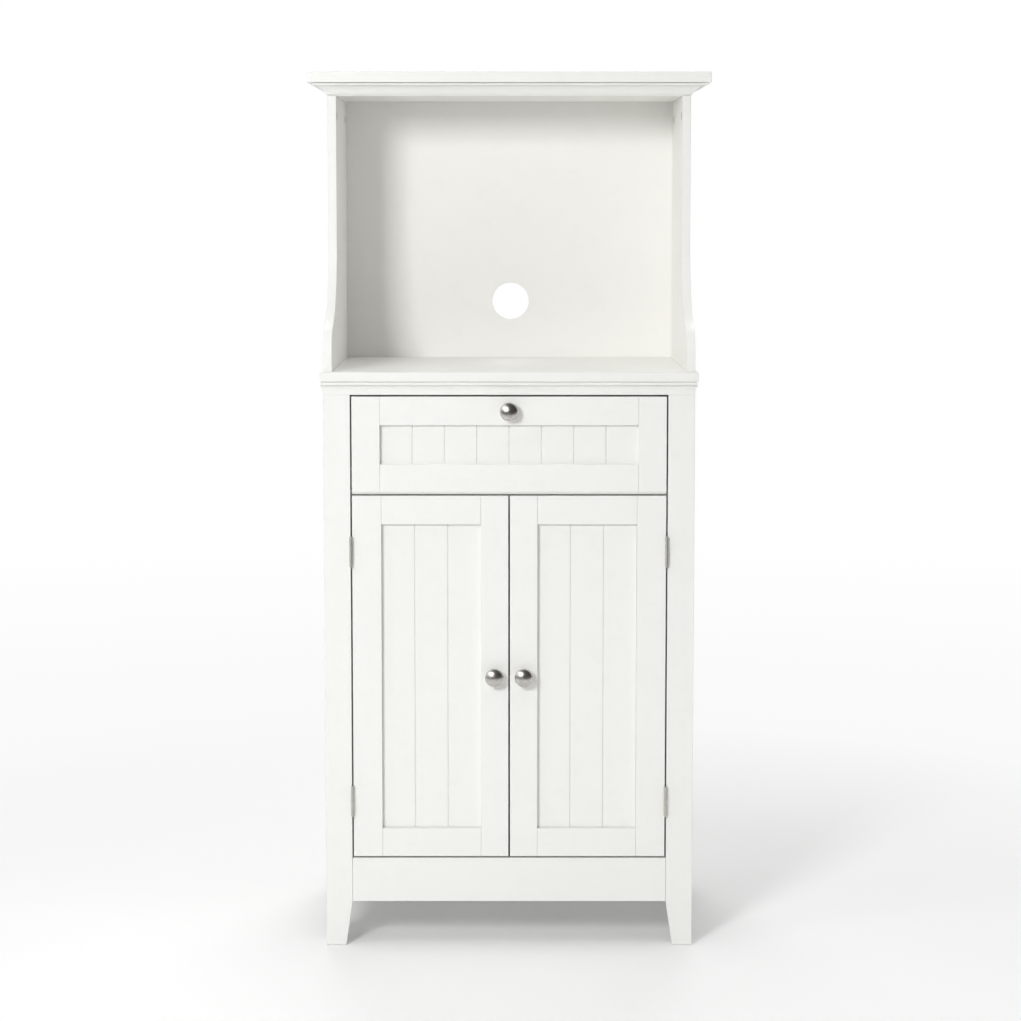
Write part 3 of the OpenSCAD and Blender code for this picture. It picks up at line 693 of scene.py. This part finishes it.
left = chamfered(stile("drawer_left_stile", -FRONT_X, DRAWER_FOOT, DRAWER_TOP))
right = twin(left, "drawer_right_stile")
inside = FRONT_X - STILE
for piece in (left, right):
    finished(piece, PAINTED, "drawer", ["drawer_front_stiles"], 0.6, 3)
piece = chamfered(rail("drawer_lower_rail", -inside, inside, DRAWER_FOOT, True, DRAWER_LOW_RAIL))
finished(piece, PAINTED, "drawer", ["drawer_front_rails"], 0.6, 3)
piece = drilled(rail("drawer_upper_rail", -inside, inside, DRAWER_TOP - RAIL, False),
                0, DRAWER_KNOB_Z)
finished(piece, PAINTED, "drawer", ["drawer_front_rails"], 0.6, 3)
piece = beaded("drawer_beaded_panel", -inside, inside, DRAWER_FOOT + DRAWER_LOW_RAIL,
               DRAWER_TOP - RAIL, 8, False)
finished(piece, PAINTED, "drawer", ["drawer_beadboard"], 0)

left_in, right_in = HINGE_STILE - FRONT_X, -DOORS_MEET - KNOB_STILE
door = {
    "hinge_stile": [stile("left_door_hinge_stile", -FRONT_X, DOOR_FOOT, DOOR_TOP, HINGE_STILE)],
    "rails": [rail("left_door_lower_rail", left_in, right_in, DOOR_FOOT, True),
              rail("left_door_upper_rail", left_in, right_in, DOOR_TOP - RAIL, False)],
    "beadboard": [beaded("left_door_beaded_panel", left_in, right_in, DOOR_FOOT + RAIL,
                         DOOR_TOP - RAIL, 3, True)],
}
pattern = stile("stile", DOORS_MEET, DOOR_FOOT, DOOR_TOP, KNOB_STILE)
door["knob_stile"] = [drilled(twin(pattern, "left_door_knob_stile"), -KNOB_X, KNOB_Z)]
bpy.data.objects.remove(pattern)
for part, boards in door.items():
    for piece in boards:
        other = twin(piece, piece.name.replace("left", "right"))
        for hand, board in (("left", piece), ("right", other)):
            finished(board, PAINTED, "door_" + hand,
                     ["door_%s_%s" % (hand, part)], 0 if part == "beadboard" else 0.6, 3)

# ---------------------------------------------------------------- knobs and hinges

KNOB = [(0, 0), (7.9, 0), (8.4, 0.3), (8.5, 0.9), (8.45, 1.8), (8.0, 2.4), (7.1, 2.8), (6.55, 3.6),
        (6.25, 5), (6.1, 6.6), (6.3, 8.2), (7.1, 9.6), (8.6, 11), (10.6, 12.3), (12.7, 13.5),
        (14.5, 14.7), (15.5, 15.9), (15.92, 17.2), (15.9, 18.6), (15.45, 20.0), (14.6, 21.15),
        (13.2, 22.3), (11.4, 23.35), (9.2, 24.3), (6.8, 25.05), (4.2, 25.6), (1.9, 25.9), (0, 26)]


def knob(body, x, z):
    piece = turned(body + "_round_knob", at(x, 0, z), KNOB, OUTWARD, 72)
    finished(piece, (nickel,), body, [body + "_knob"], 0)


def screw(body, x, z):
    """pan-head screw through the frame, its cross slot facing back"""
    piece = turned(body + "_pan_screw", at(x, 0, z), [
        (0, -10), (1.6, -10), (2.0, -9.4), (2.0, 18), (3.75, 18), (4.0, 18.3), (3.95, 18.9),
        (3.5, 19.7), (2.5, 20.25), (1.2, 20.4), (0, 20.4)], INWARD, 32)
    for wide, high in ((2.4, 0.45), (0.45, 2.4)):
        cut_away(piece, sawn("blade", (x - wide, 19.2, z - high), (x + wide, 21.4, z + high)))
    finished(piece, (screw_zinc,), body, [body + "_knob_screw"], 0)


for body, x, z in (("drawer", 0, DRAWER_KNOB_Z), ("door_left", -KNOB_X, KNOB_Z),
                   ("door_right", KNOB_X, KNOB_Z)):
    knob(body, x, z)
    screw(body, x, z)


def hinge_leaf(name, foot, on_door):
    """pressed leaf: plate with three countersunk screws, and its share of the knuckles"""
    x = (0.2 if on_door else -1.3) - AXIS_X
    plate = sawn(name, (x, 0, foot), (x + LEAF, 16, foot + HINGE_H))
    face, looks = (x, -1) if on_door else (x + LEAF, 1)
    heads = []
    for y, z in ((6, 9), (10.5, 26), (6, 43)):
        spot = at(face, y, foot + z)
        cut_away(plate, rod("bit", spot, 2.7, 0.55, ACROSS, 28))
        head = turned("screw", spot, [
            (0, -0.55), (2.6, -0.55), (2.62, -0.25), (2.3, -0.12), (0, -0.1)], (looks, 0, 0), 28)
        cut_away(head, sawn("blade", (face - 0.34, y - 1.5, foot + z - 0.28),
                            (face + 0.34, y + 1.5, foot + z + 0.28)))
        heads.append(head)
    barrels = []
    pitch, play = HINGE_H / KNUCKLES, 0.15
    for n in range(1 if on_door else 0, KNUCKLES, 2):
        low = n * pitch + (0 if n == 0 else play)
        high = (n + 1) * pitch - (0 if n == KNUCKLES - 1 else play)
        barrels.append(turned("knuckle", at(-AXIS_X, AXIS_Y, foot), [
            (1.55, low), (2.85, low), (3.1, low + 0.25), (3.1, high - 0.25), (2.85, high),
            (1.55, high), (1.55, low)], UP, 36))
        barrels.append(sawn("wrap", (x, AXIS_Y, foot + low + 0.02),
                            (x + LEAF, 0.02, foot + high - 0.02)))
    metal = [plate] + barrels
    for piece in metal:
        piece.data.materials.append(hinge_nickel)
    for piece in heads:
        piece.data.materials.append(screw_zinc)
    return joined(*metal, *heads)


def hinge_pin(name, foot):
    """headed pin, a little longer than the hinge"""
    return turned(name, at(-AXIS_X, AXIS_Y, foot), [
        (0, -1), (1.2, -1), (1.5, -0.7), (1.5, 52), (2.4, 52), (2.6, 52.25), (2.6, 52.8),
        (2.2, 53.25), (1.2, 53.4), (0, 53.4)], UP, 28)


up_to_high = (0, 0, HINGES[1] - HINGES[0])
low_leaf = hinge_leaf("post_leaf", HINGES[0], False)
leaves = [low_leaf, copied(low_leaf, "post_leaf_high", up_to_high)]
leaves += [twin(leaf, "post_leaf_right") for leaf in leaves]
finished(joined(*leaves), (hinge_nickel,), "cabinet", ["post_hinge_leaves"], 0)
low_leaf = hinge_leaf("left_door_leaf", HINGES[0], True)
leaves = joined(low_leaf, copied(low_leaf, "left_door_leaf_high", up_to_high))
other = twin(leaves, "right_door_leaf")
finished(leaves, (hinge_nickel,), "door_left", ["door_left_hinge_leaves"], 0)
finished(other, (hinge_nickel,), "door_right", ["door_right_hinge_leaves"], 0)
pins = [hinge_pin("hinge_pin", z) for z in HINGES]
pins += [twin(pin, "hinge_pin_right") for pin in pins]
finished(joined(*pins), (hinge_nickel,), "cabinet", ["hinge_pins"], 0)

# ---------------------------------------------------------------- drawer box

inner = BOX_X - BOX_WALL
slot = inner + BOX_GROOVE
side = traced("drawer_left_side", [at(-x, FACE, z) for x, z in (
    (BOX_X, BOX_FOOT), (inner, BOX_FOOT), (inner, FLOOR_UNDER), (slot, FLOOR_UNDER),
    (slot, FLOOR_TOP), (inner, FLOOR_TOP), (inner, BOX_TOP), (BOX_X, BOX_TOP))],
    step(0, BOX_END - FACE, 0))
other = twin(side, "drawer_right_side")
finished(side, BOX_COATS, "drawer", ["drawer_side_left"], 0.6)
finished(other, BOX_COATS, "drawer", ["drawer_side_right"], 0.6)
front_in = FACE + BOX_WALL
front_slot = front_in - BOX_GROOVE
piece = traced("drawer_inner_front", [at(-inner, y, z) for y, z in (
    (FACE, BOX_FOOT), (FACE, BOX_TOP), (front_in, BOX_TOP), (front_in, FLOOR_TOP),
    (front_slot, FLOOR_TOP), (front_slot, FLOOR_UNDER), (front_in, FLOOR_UNDER),
    (front_in, BOX_FOOT))], step(2 * inner, 0, 0))
finished(piece, BOX_COATS, "drawer", ["drawer_box_front"], 0.6)
piece = sawn("drawer_back_board", (-inner, BOX_END - BOX_WALL, FLOOR_TOP),
             (inner, BOX_END, BOX_TOP))
finished(piece, BOX_COATS, "drawer", ["drawer_box_back"], 0.6)
piece = sawn("drawer_floor", (-slot, front_slot, FLOOR_UNDER), (slot, BOX_END, FLOOR_TOP))
finished(piece, (box_floor, box_edge), "drawer", ["drawer_bottom"], 0.3)

# ---------------------------------------------------------------- slides, catch, shelf pins

for name in ("slide_channel_left", "slide_channel_right",
             "drawer_runner_left", "drawer_runner_right"):
    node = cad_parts[name]
    node.data.materials.clear()
    node.data.materials.append(zinc)


def roller(name, start, y, z):
    """nylon roller with a crowned tread and a dished face"""
    return turned(name, at(start, y, z), [
        (2.05, 0), (3.4, 0), (3.7, 0.5), (6.4, 0.5), (6.7, 0.05), (7.6, 0.05), (7.85, 0.4),
        (8, 1.2), (8, 4.8), (7.85, 5.6), (7.6, 5.95), (6.7, 5.95), (6.4, 5.5), (3.7, 5.5),
        (3.4, 6), (2.05, 6), (2.05, 0)], ACROSS, 48)


for kind, start, y, z in (("channel", -POST + 1.7, 34, 811.9),
                          ("runner", -BOX_X - 7.7, 346, 811.7)):
    wheel = roller("left_%s_wheel" % kind, start, y, z)
    other = twin(wheel, "right_%s_wheel" % kind)
    finished(wheel, (nylon,), kind + "_roller_left", [kind + "_roller_left"], 0)
    finished(other, (nylon,), kind + "_roller_right", [kind + "_roller_right"], 0)

case = sawn("catch_case", (-23, 19.3, CATCH_Z - 7.5), (23, 33.3, CATCH_Z + 7.5))
cut_away(case, *[sawn("mortise", (x - 8.5, 18, CATCH_Z - 5.3), (x + 8.5, 22.3, CATCH_Z + 5.3))
                 for x in (-CATCH_X, CATCH_X)])
case.data.materials.append(nylon)
magnets = []
for x in (-CATCH_X, CATCH_X):
    block = sawn("magnet", (x - 8, 19.7, CATCH_Z - 3.5), (x + 8, 22.3, CATCH_Z + 3.5))
    block.data.materials.append(magnet)
    magnets.append(block)
    for z in (CATCH_Z - 4.9, CATCH_Z + 3.7):
        plate = sawn("pole", (x - 8.2, 19.35, z), (x + 8.2, 22.3, z + 1.2))
        plate.data.materials.append(zinc)
        magnets.append(plate)
finished(joined(case, *magnets), (), "cabinet", ["magnetic_catch"], 0.3)

plate = sawn("left_strike_plate", (-CATCH_X - 8, 18, CATCH_Z - 6.5),
             (-CATCH_X + 8, 19, CATCH_Z + 6.5))
cut_away(plate, rod("bit", at(-CATCH_X, 18.6, CATCH_Z), 2.4, 0.5, INWARD, 28))
head = turned("screw", at(-CATCH_X, 18.1, CATCH_Z),
              [(0, 0), (2.2, 0), (2.25, 0.35), (1.5, 0.75), (0, 0.8)], INWARD, 28)
for piece, metal in ((plate, zinc), (head, screw_zinc)):
    piece.data.materials.append(metal)
plate = joined(plate, head)
other = twin(plate, "right_strike_plate")
finished(plate, (), "door_left", ["door_left_strike"], 0.12)
finished(other, (), "door_right", ["door_right_strike"], 0.12)

pins = []
for y in PIN_ROWS:
    pins.append(turned("shelf_pin", at(-INNER - 8, y, PIN_Z),
                       [(0, 0), (2.1, 0), (2.5, 0.4), (2.5, 8), (0, 8)], ACROSS, 28))
    pins.append(sawn("tab", (-INNER, y - 5, SHELF - 4), (-INNER + 9, y + 5, SHELF)))
pins += [twin(pin, "shelf_pin_right") for pin in pins]
finished(joined(*pins), (zinc,), "cabinet", ["shelf_pins"], 0.3)

# ---------------------------------------------------------------- floor, light, camera


def lamp(name, size, power, azimuth, elevation, distance, aim, spread=180):
    """a soft box; azimuth is to the left of the camera's side, both in degrees"""
    a, e = math.radians(azimuth), math.radians(elevation)
    away = Vector((-math.sin(a) * math.cos(e), -math.cos(a) * math.cos(e), math.sin(e)))
    data = bpy.data.lights.new(name, "AREA")
    data.shape = "RECTANGLE"
    data.size, data.size_y = size
    data.energy = power
    data.spread = math.radians(spread)
    box = bpy.data.objects.new(name, data)
    bpy.context.scene.collection.objects.link(box)
    box.location = Vector(aim) + away * distance
    box.rotation_euler = (-away).to_track_quat("-Z", "Y").to_euler()
    return box


# the key is aimed low, so that the crown isn't brighter than the doors
lamp("key_softbox", (0.8, 0.85), 75, 23, 33.5, 4.6, (0, 0, -0.4))
lamp("low_softbox", (1.6, 0.4), 0.35, 0, 8, 1.7, (0, -0.2, 0.15), 80).visible_glossy = False
lamp("overhead_softbox", (4, 4), 64, 0, 86, 4.6, (0, -0.2, 0)).visible_glossy = False
lamp("left_softbox", (1.5, 1.5), 16, 60, 32, 5, (0, 0, 0.8))
lamp("right_softbox", (2.5, 2.5), 18, -60, 15, 6, (0, 0, 0.8)).visible_glossy = False
lamp("backdrop_bounce", (3, 3), 95, 180, 50, 5, (0, 0, 0.2))


class Studio:
    """the nodes of the world or of the floor"""

    def __init__(self, owner, output):
        owner.use_nodes = True
        self.nodes, self.links = owner.node_tree.nodes, owner.node_tree.links
        self.nodes.clear()
        self.end = self.add(output).inputs["Surface"]
        self.rays = self.add("LightPath").outputs

    def add(self, kind, **values):
        node = self.nodes.new("ShaderNode" + kind)
        for socket, value in values.items():
            node.inputs[socket.replace("_", " ")].default_value = value
        return node

    def mixed(self, share, first, second):
        mix = self.add("MixShader")
        for n, source in enumerate((share, first.outputs[0], second.outputs[0])):
            self.links.new(source, mix.inputs[n])
        return mix

    def ranged(self, source, low, high, to_low, to_high):
        span = self.add("MapRange", From_Min=low, From_Max=high, To_Min=to_low, To_Max=to_high)
        self.links.new(source, span.inputs["Value"])
        return span.outputs["Result"]

    def counted(self, how, first, second):
        node = self.add("Math")
        node.operation = how
        self.links.new(first, node.inputs[0])
        self.links.new(second, node.inputs[1])
        return node.outputs["Value"]

    def seen(self):
        """1 for rays from the camera, from gloss and through glass"""
        total = self.rays["Is Camera Ray"]
        for name in ("Is Glossy Ray", "Is Transmission Ray"):
            total = self.counted("MAXIMUM", total, self.rays[name])
        return total


WHITE = (1, 1, 1, 1)
world = bpy.data.worlds.new("white_studio")
bpy.context.scene.world = world
studio = Studio(world, "OutputWorld")
fill = studio.add("Background", Color=WHITE, Strength=0.215)
backdrop = studio.add("Background", Color=WHITE, Strength=1)
room = studio.add("Background", Color=WHITE)
split = studio.add("SeparateXYZ")
studio.links.new(studio.add("TexCoord").outputs["Generated"], split.inputs[0])
# gloss sees a dim room in front, white cloth behind and a white screen to the left
cloth = studio.ranged(split.outputs["Y"], -0.3, 0.3, 0.06, 1)
screen = studio.counted("MULTIPLY", studio.ranged(split.outputs["X"], -0.3, -0.5, 0, 1),
                        studio.ranged(split.outputs["Z"], 0.06, 0.14, 0, 1))
studio.links.new(studio.counted("MAXIMUM", cloth, screen), room.inputs["Strength"])
sky = studio.mixed(studio.rays["Is Glossy Ray"], backdrop, room)
studio.links.new(studio.mixed(studio.seen(), fill, sky).outputs[0], studio.end)

put_down()
bpy.ops.mesh.primitive_plane_add(size=60, location=(0, 0, 0))
floor = settle("studio_floor")
sweep = bpy.data.materials.new("white_sweep")
studio = Studio(sweep, "OutputMaterial")
# near the cabinet the paper is lit and keeps the shadow, and further out it goes over to white
paper = studio.add("BsdfDiffuse", Color=(0.9, 0.9, 0.9, 1))
glow = studio.add("Emission", Strength=0.09)
lit = studio.add("AddShader")
studio.links.new(paper.outputs[0], lit.inputs[0])
studio.links.new(glow.outputs[0], lit.inputs[1])
place = studio.add("TexCoord").outputs["Object"]
reach = studio.add("VectorMath")
reach.operation = "LENGTH"
studio.links.new(place, reach.inputs[0])
far = studio.add("Emission")
studio.links.new(studio.ranged(reach.outputs["Value"], 0.8, 5, 0.93, 1), far.inputs["Strength"])
# in gloss the paper ends in front of the camera, at the dim room's floor
split = studio.add("SeparateXYZ")
studio.links.new(place, split.inputs[0])
dim = studio.add("Emission")
studio.links.new(studio.ranged(split.outputs["Y"], -2.4, -1.5, 0.07, 0.93), dim.inputs["Strength"])
around = studio.mixed(studio.rays["Is Glossy Ray"], far, dim)
faded = studio.mixed(studio.ranged(reach.outputs["Value"], 0.75, 1.7, 0, 1), lit, around)
studio.links.new(studio.mixed(studio.seen(), paper, faded).outputs[0], studio.end)
floor.data.materials.append(sweep)

lens = bpy.data.cameras.new("studio_camera")
lens.sensor_width = 36
lens.lens = 87.47512
lens.shift_y = -0.06905
lens.clip_end = 200
camera = bpy.data.objects.new("studio_camera", lens)
bpy.context.scene.collection.objects.link(camera)
camera.location = (0.0067227, -4.417169, 1.2854339)
camera.rotation_euler = (math.radians(90 - 5.439856), 0, math.radians(0.05918))
bpy.context.scene.camera = camera

bpy.context.scene.view_settings.view_transform = "Standard"

put_down()
